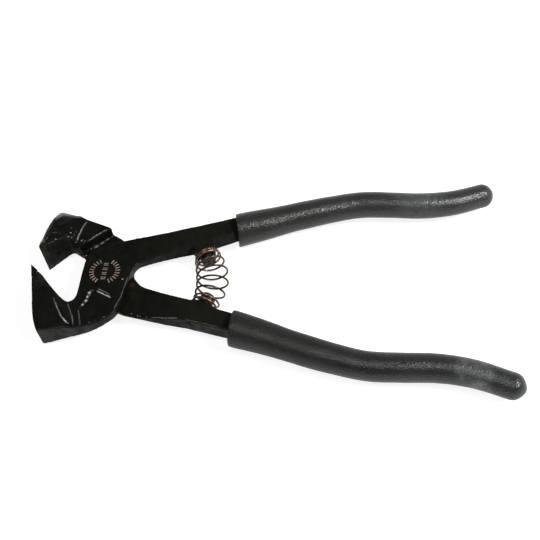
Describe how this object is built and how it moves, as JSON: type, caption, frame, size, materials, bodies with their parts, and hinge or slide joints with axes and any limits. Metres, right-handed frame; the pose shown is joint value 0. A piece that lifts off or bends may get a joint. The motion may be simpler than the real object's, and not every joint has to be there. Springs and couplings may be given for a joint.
{
  "type": "glass grozing pliers",
  "caption": "Hand tool with two forged levers on a lap joint, carbide cutting edges across the jaws, a barrel return spring and dipped vinyl grips.",
  "frame": {"origin": "on the pivot axis, on the flush front face of the rivet and boss", "axes": "+X from the jaws to the handles, +Y towards the front lever's handle, +Z out of the front boss face along the pivot"},
  "size_m": [0.2044, 0.1096, 0.0172],
  "materials": {
    "lever_paint": "gloss black paint on a forging, pitted, with wear on the edges",
    "rivet_paint": "peened flush and painted over in gloss black",
    "tip_paint": "carbide insert painted over with the jaw, bare braze at its seam",
    "peg_steel": "blackened steel",
    "spring_wire": "oil-tempered wire, dark bronze",
    "grip_vinyl": "dipped grey vinyl, finely pebbled, worn lighter near the ends"
  },
  "bodies": {
    "front": {"front_lever": "lever_paint", "pivot_rivet": "rivet_paint", "front_carbide_tip": "tip_paint", "front_spring_peg": "peg_steel", "return_spring": "spring_wire", "front_grip": "grip_vinyl"},
    "rear": {"rear_lever": "lever_paint", "rear_carbide_tip": "tip_paint", "rear_spring_peg": "peg_steel", "rear_grip": "grip_vinyl"}
  },
  "joints": [
    {"name": "pivot", "type": "hinge", "parent": "front", "child": "rear", "pos_m": [0, 0, -0.0045], "axis": [0, 0, 1], "range_deg": [-6, 17.4], "stiffness_Nm_per_rad": 1, "deforming": ["return_spring"]}
  ]
}
